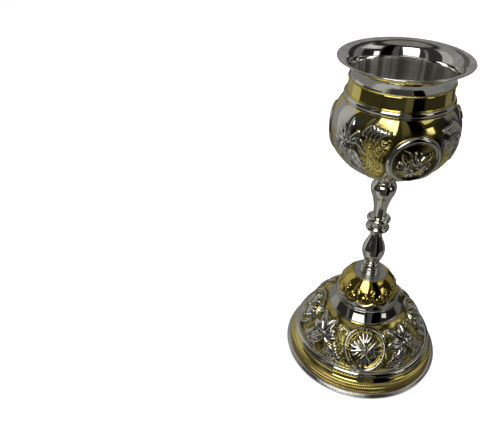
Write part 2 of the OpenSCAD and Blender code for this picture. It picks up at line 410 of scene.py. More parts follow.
GOLD = (0.97, 0.83, 0.28, 1)
GOLD_DEEP = (0.60, 0.45, 0.09, 1)
GOLD_WARM = (0.88, 0.68, 0.17, 1)
ROPE = (0.62, 0.48, 0.16, 1)
ROPE_DEEP = (0.25, 0.17, 0.05, 1)
SILVER = (0.86, 0.845, 0.765, 1)
SILVER_BRIGHT = (0.92, 0.905, 0.85, 1)
SILVER_DEEP = (0.50, 0.48, 0.42, 1)
STEM = (0.84, 0.83, 0.75, 1)
SATIN = (0.66, 0.65, 0.63, 1)
DARK = (0.6, 0.585, 0.54, 1)
DARK_DEEP = (0.32, 0.3, 0.26, 1)
ZINC = (0.45, 0.46, 0.48, 1)
ZINC_DEEP = (0.25, 0.25, 0.26, 1)
# Near-black colour of the relief hollows: partly tarnish, partly painted shade in the recesses and
# in the top of the bowl's medallion dishes
SHADE_AND_TARNISH = (0.03, 0.022, 0.01, 1)
# Dark colour of the painted reflection streaks on the liner's inside
PAINTED_STREAK = (0.2, 0.19, 0.16, 1)


class Nodes:
    """A short way to write a node tree."""

    def __init__(self, tree):
        self.tree = tree

    def new(self, kind, **settings):
        node = self.tree.nodes.new(kind)
        for key, value in settings.items():
            setattr(node, key, value)
        return node

    def feed(self, socket, value):
        """Gives a socket a number, a colour or another node's output."""
        if isinstance(value, (int, float, tuple)):
            socket.default_value = value
        else:
            self.tree.links.new(value, socket)

    def fill(self, node, **values):
        """Feeds sockets by name, with _ for a space."""
        for key, value in values.items():
            self.feed(node.inputs[key.replace("_", " ")], value)

    def math(self, operation, *values):
        node = self.new("ShaderNodeMath", operation=operation)
        for socket, value in zip(node.inputs, values):
            self.feed(socket, value)
        return node.outputs["Value"]

    def turn(self, place):
        """The angle round the axis at a place, and its height."""
        split = self.new("ShaderNodeSeparateXYZ")
        self.fill(split, Vector=place)
        return self.math("ARCTAN2", split.outputs["Y"], split.outputs["X"]), split.outputs["Z"]

    def span(self, fac, low_in, high_in, low_out, high_out, kind="LINEAR"):
        node = self.new("ShaderNodeMapRange", interpolation_type=kind)
        self.fill(node, Value=fac, From_Min=low_in, From_Max=high_in, To_Min=low_out,
                  To_Max=high_out)
        return node.outputs["Result"]

    def mix(self, fac, a, b, blend="MIX"):
        node = self.new("ShaderNodeMix", data_type="RGBA", blend_type=blend)
        self.feed(node.inputs["Factor"], fac)
        colours = [s for s in node.inputs if s.type == "RGBA"]
        self.feed(colours[0], a)
        self.feed(colours[1], b)
        return [s for s in node.outputs if s.type == "RGBA"][0]


class Metal(Nodes):
    """A metal's own tree, with its shader and its place on the object."""

    def __init__(self, name):
        self.material = bpy.data.materials.new(name)
        self.material.use_nodes = True
        super().__init__(self.material.node_tree)
        self.shader = self.tree.nodes["Principled BSDF"]
        self.fill(self.shader, Metallic=1.0)
        self.place = self.new("ShaderNodeTexCoord").outputs["Object"]

    def noise(self, scale, detail, stretch=None):
        """Noise whose features are about 1 / scale metres wide."""
        source = self.place
        if stretch:
            mapping = self.new("ShaderNodeMapping")
            self.fill(mapping, Vector=source, Scale=stretch)
            source = mapping.outputs["Vector"]
        node = self.new("ShaderNodeTexNoise")
        self.fill(node, Vector=source, Scale=scale, Detail=detail)
        return node.outputs["Fac"]

    def layer(self, name):
        return self.new("ShaderNodeAttribute", attribute_name=name).outputs["Fac"]

    def bump(self, height, distance, strength=1.0):
        """Adds a bump over the ones before it; distance is in metres."""
        node = self.new("ShaderNodeBump")
        self.fill(node, Distance=distance, Strength=strength, Height=height)
        before = self.shader.inputs["Normal"].links
        if before:
            self.fill(node, Normal=before[0].from_socket)
        self.fill(self.shader, Normal=node.outputs["Normal"])


def plated(name, bright, deep, rough=(0.03, 0.07), ripple=0.00006):
    """Polished plate: faint tarnish, finger marks, fine scratches and a rippled sheet.
    rough is the range of its roughness, and ripple the height of its waves in metres."""
    n = Metal(name)
    tarnish = n.span(n.noise(38, 5), 0.35, 0.72, 0.0, 0.45)
    marks = n.span(n.noise(90, 6), 0.35, 0.7, *rough)
    scratches = n.span(n.noise(900, 2, (1, 1, 0.06)), 0.6, 0.75, 0.0, 0.06)
    n.fill(n.shader, Base_Color=n.mix(tarnish, bright, deep),
           Roughness=n.math("ADD", marks, scratches))
    n.bump(n.noise(60, 2), ripple)
    n.bump(n.noise(2500, 3, (0.2, 0.2, 1)), 0.000001, 0.4)
    return n.material


def embossed(name, grain_depth, ripple, bright=GOLD):
    """Gold plate whose raised work is silver, with near-black tarnish and painted shade in the
    hollows and a punched ground.
    grain_depth and ripple are the heights of its dots and its waves in metres."""
    n = Metal(name)
    silver, hollow, grain = n.layer("silver"), n.layer("hollow"), n.layer("grain")
    cloud = n.noise(55, 5)
    gold = n.mix(n.span(cloud, 0.35, 0.7, 0.0, 0.5), bright, GOLD_DEEP)
    white = n.mix(n.span(cloud, 0.35, 0.7, 0.0, 0.4), SILVER, SILVER_DEEP)
    edge = n.math("ADD", silver, n.span(n.noise(700, 3), 0.3, 0.7, -0.18, 0.18))
    metal = n.mix(n.span(edge, 0.4, 0.6, 0.0, 1.0), gold, white)
    # Darkening in the hollows: partly tarnish, partly painted shade that stands in for the shadows
    # in the relief's recesses
    tarnish_and_shade = n.span(n.math("MULTIPLY", hollow, n.span(n.noise(240, 4), 0.3, 0.7, 0.6, 1.1)),
                  0.0, 1.0, 0.0, 0.92)
    base = n.span(cloud, 0.3, 0.7, 0.02, 0.06)
    n.fill(n.shader, Base_Color=n.mix(tarnish_and_shade, metal, SHADE_AND_TARNISH),
           Roughness=n.math("ADD", n.math("MULTIPLY", hollow, 0.15), base))
    punch = n.new("ShaderNodeTexVoronoi", feature="F1")
    n.fill(punch, Vector=n.place, Scale=950)
    dots = n.math("MULTIPLY", n.span(punch.outputs["Distance"], 0.1, 0.5, 0.0, 1.0), grain)
    n.bump(n.noise(70, 2), ripple)
    n.bump(dots, grain_depth, 0.8)
    return n.material


def lined(name):
    """The liner: polished outside; inside it has painted dark upright streaks that stand in for
    reflections of the room, and is a little duller.
    """
    n = Metal(name)
    inside = n.layer("inside")
    streaks = n.new("ShaderNodeTexNoise", noise_dimensions="1D")
    n.fill(streaks, W=n.turn(n.place)[0], Scale=3.4, Detail=3.0)
    # Painted reflection: dark upright bands on the inside, in place of the room's reflections in
    # the curved wall
    shade = n.span(streaks.outputs["Fac"], 0.4, 0.62, 0.9, 0.0)
    plate = n.mix(n.span(n.noise(38, 5), 0.35, 0.72, 0.0, 0.3), SILVER_BRIGHT, SILVER_DEEP)
    n.fill(n.shader, Base_Color=n.mix(n.math("MULTIPLY", shade, inside), plate, PAINTED_STREAK),
           Roughness=n.math("ADD", n.math("MULTIPLY", inside, 0.1), 0.04),
           Metallic=n.span(inside, 0.5, 1.0, 1.0, 0.9))
    n.bump(n.noise(60, 2), 0.00003)
    return n.material


silver_liner = lined("silver_liner")
silver_polish = plated("silver_polish", SILVER, SILVER_DEEP)
silver_stem = plated("silver_stem", STEM, SILVER_DEEP, (0.02, 0.06), 0.00002)
silver_satin = plated("silver_satin", SATIN, SILVER_DEEP, (0.3, 0.4), 0.00002)
silver_dark = plated("silver_dark", DARK, DARK_DEEP, (0.02, 0.05), 0.00003)
silver_edge = plated("silver_edge", SILVER_BRIGHT, SILVER_DEEP, (0.02, 0.04), 0.00003)
gold_polish = plated("gold_polish", GOLD, GOLD_DEEP, (0.03, 0.08), 0.00014)
gold_rope = plated("gold_rope", ROPE, ROPE_DEEP, (0.1, 0.2), 0.00002)
bowl_metal = embossed("bowl_metal", 0.00025, 0.00013)
dome_metal = embossed("dome_metal", 0.00035, 0.00006)
bell_metal = embossed("bell_metal", 0.0001, 0.00005, GOLD_WARM)
zinc = plated("zinc_steel", ZINC, ZINC_DEEP, (0.28, 0.45), 0.00003)


# ---------- the cup ----------

def make_liner():
    """The lining cup. Its layer "inside" is 1 in the well and less on the flare's upper side; it
    says where the painted reflection streaks go.
    """
    flare_share = 0.3
    edge = 0.45
    flare = curve((neck_r, seam_z), (neck_r - 0.4, seam_z + 6),
                  (lip_r - 7.5, lip_z - 2.6), (lip_r - 0.25, lip_z - 0.75))
    lip = arc((lip_r - edge, lip_z - edge), edge, -45, 110, 10)
    inner = curve((lip_r - 0.7, lip_z - 0.04), (lip_r - 8.3, lip_z - 1.6),
                  (throat_r - 1, seam_z + 7), (throat_r - 1, seam_z - 2))
    bowl_in = curve((throat_r - 1.3, cup_z + 32), (throat_r - 2, cup_z + 14),
                    (26, floor_z + 1), (0.0, floor_z + 1), 60)
    bowl_out = curve((0.0, floor_z), (27, floor_z), (throat_r - 1, cup_z + 13),
                     (throat_r - 0.3, cup_z + 32), 60)
    outline = chain(bowl_out, (throat_r, seam_z - 8), (throat_r, seam_z), flare, lip,
                    inner, bowl_in)
    liner = turned("cup_liner_fine", outline, silver_liner, CUP, ["cup_liner"],
                   256, 40)
    points = np.zeros(len(liner.data.vertices) * 3)
    liner.data.vertices.foreach_get("co", points)
    points = points.reshape(-1, 3) / MM
    r, z = np.hypot(points[:, 0], points[:, 1]), points[:, 2]
    well = (r < throat_r - 0.6) & (z > floor_z + 0.5) & (z < seam_z + 3)
    flared = (z >= seam_z + 3) & (r < np.interp(z, flare[:, 1], flare[:, 0]) - 0.3)
    # Mask for the painted reflection streaks, the duller finish and the lower metallic value
    layer = liner.data.attributes.new("inside", "FLOAT", "POINT")
    layer.data.foreach_set("value", (well + flare_share * flared).astype(np.float32))


def bowl_face():
    """The bowl's outside, from its foot to the silver bead."""
    return chain(
        curve((8, cup_z), (22, cup_z), (belly_r, cup_z + 10), (belly_r, belly_z), 80),
        curve((belly_r, belly_z), (belly_r, belly_z + 13), (neck_r + 5, bead_low - 3),
              (neck_r + 2.2, bead_low), 60),
    )


def cross_flower(field, azimuth, s, reach, turn, rise, arm, finger, leaf, leaf_wide, plump):
    """A cross of four fluted fans with a gold leaf between each two, and a beaded boss.

    turn is in degrees and rise is the relief in mm. arm and leaf are lengths as shares of
    reach, and finger and leaf_wide are widths.
    """
    for quarter in range(4):
        a = turn + 90 * quarter
        field.petal(azimuth, s, a + 45, reach * leaf, reach * leaf_wide, 1.4 * rise, start=2.2,
                    vein=0.0, plump=plump)
        field.inlay(azimuth, s, a + 45, reach * leaf * 0.84, reach * leaf_wide * 0.72, 3.4,
                    1.1 * rise, plump)
        for spread, size in ((-28, 0.9), (28, 0.9), (-10, 1.0), (10, 1.0)):
            tip = reach * (arm * size - finger / 2)
            path = [polar(2.2, a + 0.3 * spread), polar(0.5 * tip, a + 0.65 * spread),
                    polar(tip, a + spread)]
            field.stroke(azimuth, s, path, (0.7, reach * finger), 1.7 * rise)
    field.bead(azimuth, s, 0, 0, reach * 0.13, 2.2 * rise)
    for k in range(8):
        field.bead(azimuth, s, *polar(reach * 0.2, 45 * k), 0.8, 2.0 * rise)


def groove(field, azimuth, s, radius, width, depth):
    """A round groove about a point."""
    at, x, y = field.patch(azimuth, s, radius + width)
    d = np.abs(np.hypot(x, y) - radius) / width
    field.height[at] -= depth * bump(d)


def dish(field, azimuth, s, radius, depth, tarnish=0.0):
    """A round hollow in the ground under a flower, with black painted shade in its upper part."""
    at, x, y = field.patch(azimuth, s, radius + 1)
    d = np.hypot(x, y) / radius
    field.height[at] -= depth * np.clip(1 - d * d, 0, 1)
    # Painted shade: a black crescent over the dish's upper part, kept in the tarnish layer
    field.tarnish[at] += tarnish * soft((y / radius - 0.15) / 0.4) * (d < 1)


def frond(field, azimuth, s, angle, length, bend, leaves, size, height=1.0, silver=1.0):
    """A curved stalk with leaflets on both sides; bend is how far it turns, in degrees."""
    points = [(0.0, 0.0)]
    for k in range(leaves * 2):
        x, y = polar(length / (leaves * 2), angle + bend * k / (leaves * 2))
        points.append((points[-1][0] + x, points[-1][1] + y))
    field.stroke(azimuth, s, points, (1.1, 0.7), height * 0.9, silver)
    for k in range(1, leaves + 1):
        x, y = points[2 * k - 1]
        heading = angle + bend * k / leaves
        for side in (-1, 1):
            field.petal(azimuth, s, heading + 42 * side, size * (1.15 - 0.5 * k / leaves),
                        size * 0.42, height, vein=0.35, silver=silver, shift=(x, y))
    x, y = points[-1]
    field.petal(azimuth, s, angle + bend, size * 0.8, size * 0.4, height, vein=0.3, silver=silver,
                shift=(x, y))


def scroll(turns, r0, r1, start, steps=26, centre=(0.0, 0.0)):
    """Points of a spiral that winds from radius r0 to r1 round a centre."""
    t = np.linspace(0, 1, steps)
    a = np.radians(start) + turns * 2 * np.pi * t
    r = r0 + (r1 - r0) * t
    return np.array(centre) + np.stack([r * np.cos(a), r * np.sin(a)], 1)


def make_bowl():
    """Petals at the foot, then three times a medallion, a star, two wheat ears and leaves."""
    field = Relief(bowl_face(), 600, 0.52, 0.3)
    medallion_s, star_s, ear_s, punched_s = 48.0, 56.0, 64.5, 44.0
    first, medallion_r = 293.0, 15.0
    plain_place = (2, 1)
    ground_share = 0.62
    for k in range(12):
        field.petal(first + 30 * k + 15, 0, 90, 22, 5.2, 0.8, start=5, vein=0.4)
    for k in range(3):
        az = first + 120 * k
        bowl_star(field, az - 62, star_s)
        for side in (-1, 1):
            if (k, side) != plain_place:
                bowl_ear(field, az + 40 * side, ear_s, side)
            bowl_punched(field, az + 39 * side, punched_s)
            field.petal(az + 23.5 * side, 20, 90 + 4 * side, 27, 5.4, 1.3, vein=0.3)
    field.height *= ground_share
    for k in range(3):
        az = first + 120 * k
        field.clear(az, medallion_s, medallion_r)
        # The dish's upper part gets black painted shade
        dish(field, az, medallion_s, medallion_r, 0.9, 0.9)
        field.ring(az, medallion_s, medallion_r + 1.3, 3.8, 1.6)
        field.sag = (4.0, 16.0)
        cross_flower(field, az, medallion_s, 14.2, -8, 0.5, 0.8, 0.14, 0.84, 0.46, 1.3)
        field.sag = (0.0, 1.0)
    field.smooth()
    back = inward(even(bowl_face(), 5), sheet)
    field.make("bowl_relief", back, bowl_metal, CUP, ["bowl_shell"])


def bowl_star(field, az, s):
    """A star of narrow leaves over a broad vine leaf, on a ground that is partly silver."""
    field.cloud(az - 15, s + 5, 16, 18, 4, 0.8)
    field.cloud(az + 4, s - 20, 11, 12, 5, 0.7)
    for angle, length, width in ((-58, 24, 9), (-92, 21, 8), (-125, 18, 7)):
        field.petal(az, s, angle, length, width, 1.2, start=1.0, vein=0.5)
        for rib in range(4):
            root = polar(5.0 + 0.17 * length * rib, angle)
            for side in (-1, 1):
                field.petal(az, s, angle + 38 * side, width * 0.5, 1.5, 1.5, vein=0.0, shift=root)
    lobes = [(88, 15, 3.0), (44, 12.5, 3.0), (122, 11, 2.6), (156, 11, 2.6), (186, 11, 2.6),
             (6, 7, 2.2)]
    for angle, length, width in lobes:
        field.petal(az, s, angle, length, width, 1.6, start=1.0, vein=0.5)
    field.bead(az, s, 0, 0, 1.6, 1.8)


def bowl_ear(field, az, s, side):
    """A wheat ear of slanting strokes over a granulated scroll, with a loop beside it."""
    flip = -side
    for i in range(5):
        x = (-5.8 + 2.6 * i) * flip
        y = -1.2 - 0.4 * i
        grain = curve((x, y), (x + 0.4 * flip, y + 2.8), (x + 2.6 * flip, y + 5.6),
                      (x + 6.2 * flip, y + 7.0 - 0.3 * i), 8)
        field.stroke(az, s, grain, (1.2, 1.9), 2.6)
    field.stipple(az, s, 3.5 * flip, -7.0, 10.0, 5.5)
    loop = [(-9.5, 0.0), (-10.5, -3.0), (-9.3, -6.5), (-6.0, -9.2), (-3.5, -12.0)]
    field.stroke(az, s, [(x * flip, y) for x, y in loop], (1.6, 2.2), 1.2)
    field.petal(az, s, 90 - 150 * flip, 8, 4.5, 1.2, vein=0.4, shift=(-9.5 * flip, -4.0))
    for x, y in ((-1.0, -4.8), (3.6, -5.8), (8.0, -5.2), (11.8, -3.0)):
        field.stroke(az, s, scroll(1, 1.4, 1.4, 0, 12, (x * flip, y)), (0.7, 0.7), 0.5, 0.0)
    for _ in range(80):
        x, y = rng.uniform(-5, 13), rng.uniform(-11, -3)
        field.bead(az, s, x * flip, y, rng.uniform(0.35, 0.6), 0.4, 0.0)


def bowl_punched(field, az, s):
    """Punched dots over a patch of the ground that narrows downwards."""
    field.stipple(az, s, 0.0, -3.0, 7.0, 12.0)
    for i in range(11):
        for j in range(8):
            y = -14 + 2.0 * i + rng.uniform(-0.7, 0.7)
            x = (j - 3.5) * (1.5 + 0.05 * i) + rng.uniform(-0.6, 0.6)
            field.pit(az, s, x, y, 0.6, 0.8)


def make_collar():
    """A broad half-round bead in silver, a thin gold fillet over it, and the gold band."""
    bead = arc((neck_r + 0.4, bead_low + 2.3), 2.4, -52, 52, 22)
    silver_part = chain((neck_r - 0.9, bead_low - 0.6), (neck_r + 2.0, bead_low), bead,
                        (neck_r + 1.2, band_low - 0.75), (neck_r - 0.9, band_low - 0.6))
    turned("bowl_bead", silver_part, silver_polish, CUP, ["bowl_shell"], 256, 50)
    band = curve((neck_r + 0.8, band_low), (neck_r + 0.5, band_low + 2),
                 (neck_r + 0.3, seam_z - 2), (neck_r + 0.1, seam_z - 0.4), 12)
    fillet = arc((neck_r + 1.15, band_low - 0.35), 0.45, -90, 70, 8)
    gold_part = chain((neck_r - 0.85, band_low - 0.6), (neck_r + 0.9, band_low - 0.7), fillet,
                      band, (neck_r - 0.1, seam_z - 0.05), (neck_r - 0.85, seam_z - 0.05))
    turned("bowl_collar", gold_part, gold_polish, CUP, ["bowl_shell"], 256, 50)


def make_seam():
    """The twisted gold wire at the seam between the lining and the bowl."""
    strands = 150

    def twist(angle, s, r, z):
        return 0.1 * np.sin(strands * angle + 2.2 * s) - 0.1

    wire = arc((neck_r + 0.42, seam_z + 0.45), 0.45, -90, 270, 14)
    turned("seam_cord", wire, gold_polish, CUP, ["seam_wire"], 1200, None, twist)


def make_rosette():
    """The scalloped plate between the bowl and the stem."""
    petals = 10
    hole_r = 4.2
    bottom = low("petal_rosette")
    outer = high("petal_rosette", 0)
    outline = chain((hole_r, bottom + 0.1), (outer - 1.2, bottom + 0.1),
                    (outer - 0.4, bottom + 0.5), (outer - 1.2, bottom + 1.15),
                    (hole_r, bottom + 1.15))
    outline = even(chain(outline, outline[0]), 0.35)

    def scallop(angle, s, r, z):
        edge = soft((r - 5) / 3)
        return edge * (0.25 * np.abs(np.sin(petals * angle / 2)) - 0.3)

    turned("rosette_fine", outline, gold_rope, CUP, ["petal_rosette"], 240, None,
           scallop)


# ---------- the stem ----------

def stem_piece(node, *outline):
    turned(node + "_fine", chain(*outline), silver_stem, FOOT, [node])


def make_stem():
    """From the top down: baluster with its ball, disc, ring, pear-shaped baluster, steps."""
    ball_low, ball_top = seat_z - 21.5, seat_z - 8
    taper = curve((5, disc_top + 1), (4.8, disc_top + 8), (6, ball_low - 5), (7.4, ball_low))
    ball = curve((7.4, ball_low), (9.2, ball_low + 4), (11.4, ball_top - 3.5), (7, ball_top))
    neck = chain(curve((7, ball_top), (6.3, ball_top + 0.6), (6.3, ball_top + 1.4),
                       (6.6, ball_top + 2), 10),
                 arc((6.2, ball_top + 3.4), 1.4, -70, 70))
    bore_r, bore_low = 4.1, seat_z - 14
    stem_piece("upper_baluster", (rod_r, disc_top), (5.6, disc_top), (5.6, disc_top + 0.5),
               taper, ball, neck, (6.6, seat_z - 2), (6.6, seat_z), (bore_r, seat_z),
               (bore_r, bore_low), (rod_r, bore_low))
    stem_piece("knop_disc", (rod_r, ring_top), (7.3, ring_top), (7.3, ring_top + 1.2),
               arc((7.5, ring_top + 1.5), 0.3, -90, -45, 4),
               arc((knop_r - 1.5, disc_top - 2.2), 1.5, -60, 60),
               curve((knop_r - 0.9, disc_top - 0.75), (knop_r - 1.4, disc_top - 0.2),
                     (knop_r - 2.2, disc_top - 0.25), (5.2, disc_top), 10),
               (rod_r, disc_top))
    stem_piece("knop_ring", (rod_r, low_top), (5.2, low_top), (5.6, low_top + 0.2),
               arc((knop_r - 2, low_top + 2.4), 2, -75, 72),
               curve((7.6, low_top + 4.3), (7.1, low_top + 4.8), (7.1, ring_top - 0.8),
                     (7.4, ring_top), 10),
               (rod_r, ring_top))
    pear_z = foot_h + 22.4
    stem_piece("lower_baluster", (rod_r, step_top), (5.2, step_top),
               arc((5.4, step_top + 1.9), 1.2, -78, 70),
               curve((5.8, step_top + 3.0), (5.3, step_top + 5), (pear_r, pear_z - 6.5),
                     (pear_r, pear_z)),
               curve((pear_r, pear_z), (pear_r, pear_z + 7), (4.4, low_top - 10),
                     (4.4, low_top - 1.5)),
               curve((4.4, low_top - 1.5), (4.4, low_top - 0.8), (4.8, low_top - 0.2),
                     (5.4, low_top), 8),
               (rod_r, low_top))
    stem_piece("step_ring", (rod_r, foot_h), (step_r - 1.1, foot_h),
               arc((step_r - 1.1, foot_h + 1.1), 1.1, -90, 80),
               arc((step_r - 1.3, foot_h + 3.2), 1.1, -80, 80),
               arc((step_r - 1.7, foot_h + 5.6), 1.4, -75, 90), (rod_r, step_top))


# ---------- the foot ----------

def make_cap_disc():
    """The satin disc on top of the bell. Its points lie close enough for its lathe lines."""
    edge_r, hole_r = high("cap_disc", 0), rod_r + 0.1
    under = foot_h - 1.2
    radians_per_mm = 9

    def fine(angle, s, r, z):
        return 0.012 * np.sin(radians_per_mm * r) * (z > foot_h - 0.1) + 0 * angle

    outline = chain((hole_r, under), (edge_r, under), (edge_r, foot_h - 0.15),
                    (edge_r - 0.15, foot_h),
                    even(np.array([(edge_r - 0.15, foot_h), (hole_r, foot_h)]), 0.15))
    turned("cap_disc_fine", outline, silver_satin, FOOT, ["cap_disc"], 128, 32, fine)


def make_bell():
    """Twelve upright lobes over a silver scalloped lip, with curls low on each lobe."""
    lobes = 12
    rim_r = 14.6
    face = curve((25.2, milled_top), (24.6, milled_top + 7.5), (21, foot_h - 4.5),
                 (rim_r, foot_h - 0.2))
    field = Relief(face, 560, 0.42, 0.32)
    a = field.angle[None, :]
    s = field.s[:, None]
    wave = np.abs(np.cos(lobes * a / 2))
    panel = soft((s - 4) / 3) * soft((13 - s) / 6)
    lip = 6.2 - 2.6 * wave**0.8
    field.height = 0.3 * wave**0.6 * panel - 0.15
    field.silver = np.where(s < lip, 1.0, 0.0) + 0 * a
    field.height += 0.8 * np.exp(-(((s - lip + 0.5) / 0.6) ** 2))
    field.height -= 0.35 * np.exp(-(((s - lip - 0.9) / 0.5) ** 2))
    for k in range(lobes):
        middle = k * 360 / lobes
        gap = middle + 180 / lobes
        for side in (-1, 1):
            curl = scroll(-1.1 * side, 1.5, 0.35, 90 + 90 * side, 18, (1.75 * side, 0.0))
            field.stroke(middle, 8.6, curl, (0.9, 0.9), 0.5, 0.0)
            field.petal(middle, 7.6, 90 - 125 * side, 3.6, 1.7, 0.4, vein=0.0, silver=0.0)
        field.petal(middle, 9.2, 90, 3.6, 1.5, 0.45, vein=0.0, silver=0.0)
        field.stroke(gap, 15.0, scroll(1, 1.3, 1.3, 0, 16), (0.8, 0.8), 0.35, 0.0)
        field.petal(gap, 13.6, 270, 5.0, 2.2, 0.5, vein=0.0, silver=0.0)
    field.smooth()
    back = [(rim_r - 0.6, foot_h - 0.3), (rim_r - 1.2, foot_h - 1.4), (17.6, foot_h - 4.6),
            (21.2, 73), (23.4, 66), (24.0, milled_top + 1), (20, milled_top + 1), (20, milled_top)]
    field.make("bell_relief", back, bell_metal, FOOT, ["foot_bell"])
    rim = arc((rim_r - 0.55, foot_h - 0.5), 0.5, -90, 270, 14)
    turned("bell_rim", rim, gold_polish, FOOT, [], 192, None)


def make_milled_ring():
    """Slanting ribs between two beads."""
    mid_low, mid_high = cone_top + 1.3, milled_top - 1.3
    ribs = 110

    def mill(angle, s, r, z):
        inside = soft((z - mid_low) / 0.3) * soft((mid_high - z) / 0.3) * (r > 24)
        return inside * (0.22 * np.sin(ribs * angle + 1.4 * z) - 0.1)

    outline = chain((22, cone_top), arc((25.4, cone_top + 0.65), 0.65, -90, 75),
                    even(np.array([(25.35, mid_low), (25.25, mid_high)]), 0.2),
                    arc((25.2, milled_top - 0.65), 0.65, -75, 90), (22, milled_top))
    turned("milled_ring_fine", outline, silver_dark, FOOT, ["milled_ring"], 880,
           None, mill)


def make_cone():
    """The plain polished band over the dome, with a bead at its foot."""
    bead = 0.6
    face = curve((cone_r - 0.5, dome_top + 2 * bead), (27.4, 53.2), (25.8, 55.4), (25.0, cone_top))
    outline = chain((28.3, dome_top), arc((cone_r - 0.2, dome_top + bead), bead, -90, 60), face,
                    (20, cone_top), (20, cone_top - 1), (23.6, cone_top - 1))
    turned("cone_band_fine", outline, silver_dark, FOOT, ["cone_band"], 256, 40)


def make_dome():
    """Four times a medallion, a vine leaf and the sprays between them."""
    face = curve((dome_low_r - 0.4, border_top), (dome_low_r - 2.1, 32),
                 (cone_r + 10.9, dome_top - 3.6), (cone_r - 0.2, dome_top - 0.3), 80)
    field = Relief(face, 720, 0.42, 0.32)
    end = field.s[-1]
    field.grain += (soft((end - 5.5 - field.s) / 1.0))[:, None]
    first, medallion_s, leaf_s = 277.6, 18.0, 18.6
    for k in range(4):
        az = first + 90 * k
        dome_sprays(field, az)
        dome_leaf(field, az + 43.5, leaf_s)
        field.narrow = 0.91
        field.clear(az, medallion_s, 18.2)
        field.ring(az, medallion_s, 17.0, 2.4, 1.7)
        field.ring(az, medallion_s, 14.7, 1.3, 1.3, 0.0)
        groove(field, az, medallion_s, 15.6, 0.6, 0.7)
        groove(field, az, medallion_s, 18.5, 0.6, 0.5)
        dish(field, az, medallion_s, 14.2, 1.3)
        field.narrow = 0.84
        field.sag = (0.6, 15.0)
        cross_flower(field, az, medallion_s + 0.6, 14.2, 2, 1.0, 1.0, 0.225, 0.72, 0.26, 0.85)
        field.sag = (0.0, 1.0)
        field.narrow = 1.0
    field.smooth()
    hole_r, under = 24.5, dome_top - 1
    back = [(cone_r - 0.2, dome_top), (hole_r, dome_top), (hole_r, under),
            *curve((cone_r, under), (cone_r + 10.5, dome_top - 4.6), (dome_low_r - 3.2, 31),
                   (dome_low_r - 1.6, border_top - 0.5), 12)]
    field.make("dome_relief", back, dome_metal, FOOT, ["foot_dome"])


def dome_leaf(field, az, s):
    """A vine leaf of plump, deeply veined lobes, with its stalk, tendrils and grapes."""
    lobes = [(172, 15, 7.2), (124, 18, 7.4), (78, 16, 7.2), (34, 10, 5.0), (6, 12, 6.6),
             (-30, 10, 5.4), (234, 16, 7.0), (205, 9, 4.4)]
    for angle, length, width in lobes:
        field.petal(az, s, angle, length, width, 2.0, start=0.4, vein=0.6, plump=0.95)
    field.bead(az, s, 0, 0, 1.5, 2.1)
    stalk = curve((0, -1), (3.0, -6), (-1.0, -11), (-7.5, -15.5), 16)
    field.stroke(az, s, stalk, (1.6, 1.2), 1.4)
    for side in (-1, 1):
        wind = scroll(1.25 * side, 0.7, 3.6, 90 - 30 * side, 26, (10.5 * side, -10.5))
        field.stroke(az, s, wind, (1.0, 1.3), 1.1)
        top = scroll(-0.9 * side, 0.8, 2.8, 200, 22, (9.5 * side, 12.0))
        field.stroke(az, s, top, (0.9, 1.2), 1.0, 0.6)
    for row in range(4):
        for col in range(4 - row):
            field.bead(az, s, 5.0 + 1.9 * col + 0.95 * row, -5.2 - 1.7 * row, 1.05, 1.3, 0.4)


def dome_sprays(field, az):
    """Fronds and fans of small leaves that fill the ground beside a medallion."""
    for side in (-1, 1):
        frond(field, az + 21 * side, 2.0, 90 - 60 * side, 15, 55 * side, 5, 4.6)
        frond(field, az + 24.5 * side, 30.0, 90 + 125 * side, 12, -60 * side, 4, 3.8, 0.9, 0.7)
        frond(field, az + 40 * side, 1.5, 90 + 50 * side, 10, -40 * side, 3, 4.2)
        for angle in (50, 90, 130):
            field.petal(az + 31 * side, 0.5, angle, 6.0, 2.6, 1.1, vein=0.4)
        for step in range(9):
            bow = 0.25 * (step - 4) ** 2 * side * 0.3
            field.bead(az + 20.5 * side, 10 + 2.0 * step, bow, 0, 0.8, 0.9, 0.0)


def make_border():
    """The polished half-round border, its corded lower edge, and the gold cavetto below it."""
    mid = ((border_r + dome_low_r) / 2, (border_z + border_top) / 2)
    half = math.hypot(border_r - dome_low_r, border_top - border_z) / 2
    bead = arc(mid, half, -30, 127, 26)
    scallops = 150

    def scallop(angle, s, r, z):
        edge = 4.75 - 1.0 * np.abs(np.sin(scallops * angle / 2))
        step = soft((s - edge) / 0.35)
        ridge = 0.3 * np.exp(-(((s - edge - 0.5) / 0.35) ** 2))
        return np.where(r > border_r - 3, ridge - 0.9 * (1 - step) - 0.3, -0.3)

    outline = chain((border_r - 1.6, border_z - 0.8),
                    even(chain((border_r + 0.1, border_z - 0.6), bead), 0.22),
                    (dome_low_r - 1.2, border_top - 0.6))
    turned("foot_border", outline, silver_polish, FOOT, ["foot_dome"], 1500, None,
           scallop)
    beads = 210
    skirt_z = rope_top
    bead_c = (skirt_r - 0.75, skirt_z + 1.2)

    def beaded(angle, s, r, z):
        near = (np.hypot(r - bead_c[0], z - bead_c[1]) < 1.35) & (r > bead_c[0])
        return near * (0.1 * np.sin(beads * angle) - 0.1) + 0 * angle

    cavetto = curve((skirt_r - 0.6, skirt_z + 2.45), (skirt_r - 2.6, skirt_z + 2.7),
                    (border_r + 0.2, border_z - 3), (border_r - 0.1, border_z - 0.5), 20)
    skirt = chain((skirt_r - 3, base_top), (skirt_r - 3, skirt_z), (skirt_r - 0.9, skirt_z),
                  arc(bead_c, 1.2, -80, 75), cavetto, arc(mid, half - 0.45, -32, 16, 8),
                  (mid[0] + 0.4, mid[1] + 0.6), (border_r - 1.7, border_z - 0.5),
                  (skirt_r - 4.6, skirt_z + 1.6), (skirt_r - 4.6, base_top))
    turned("foot_skirt", skirt, gold_polish, FOOT, ["foot_dome"], 840, 60, beaded)


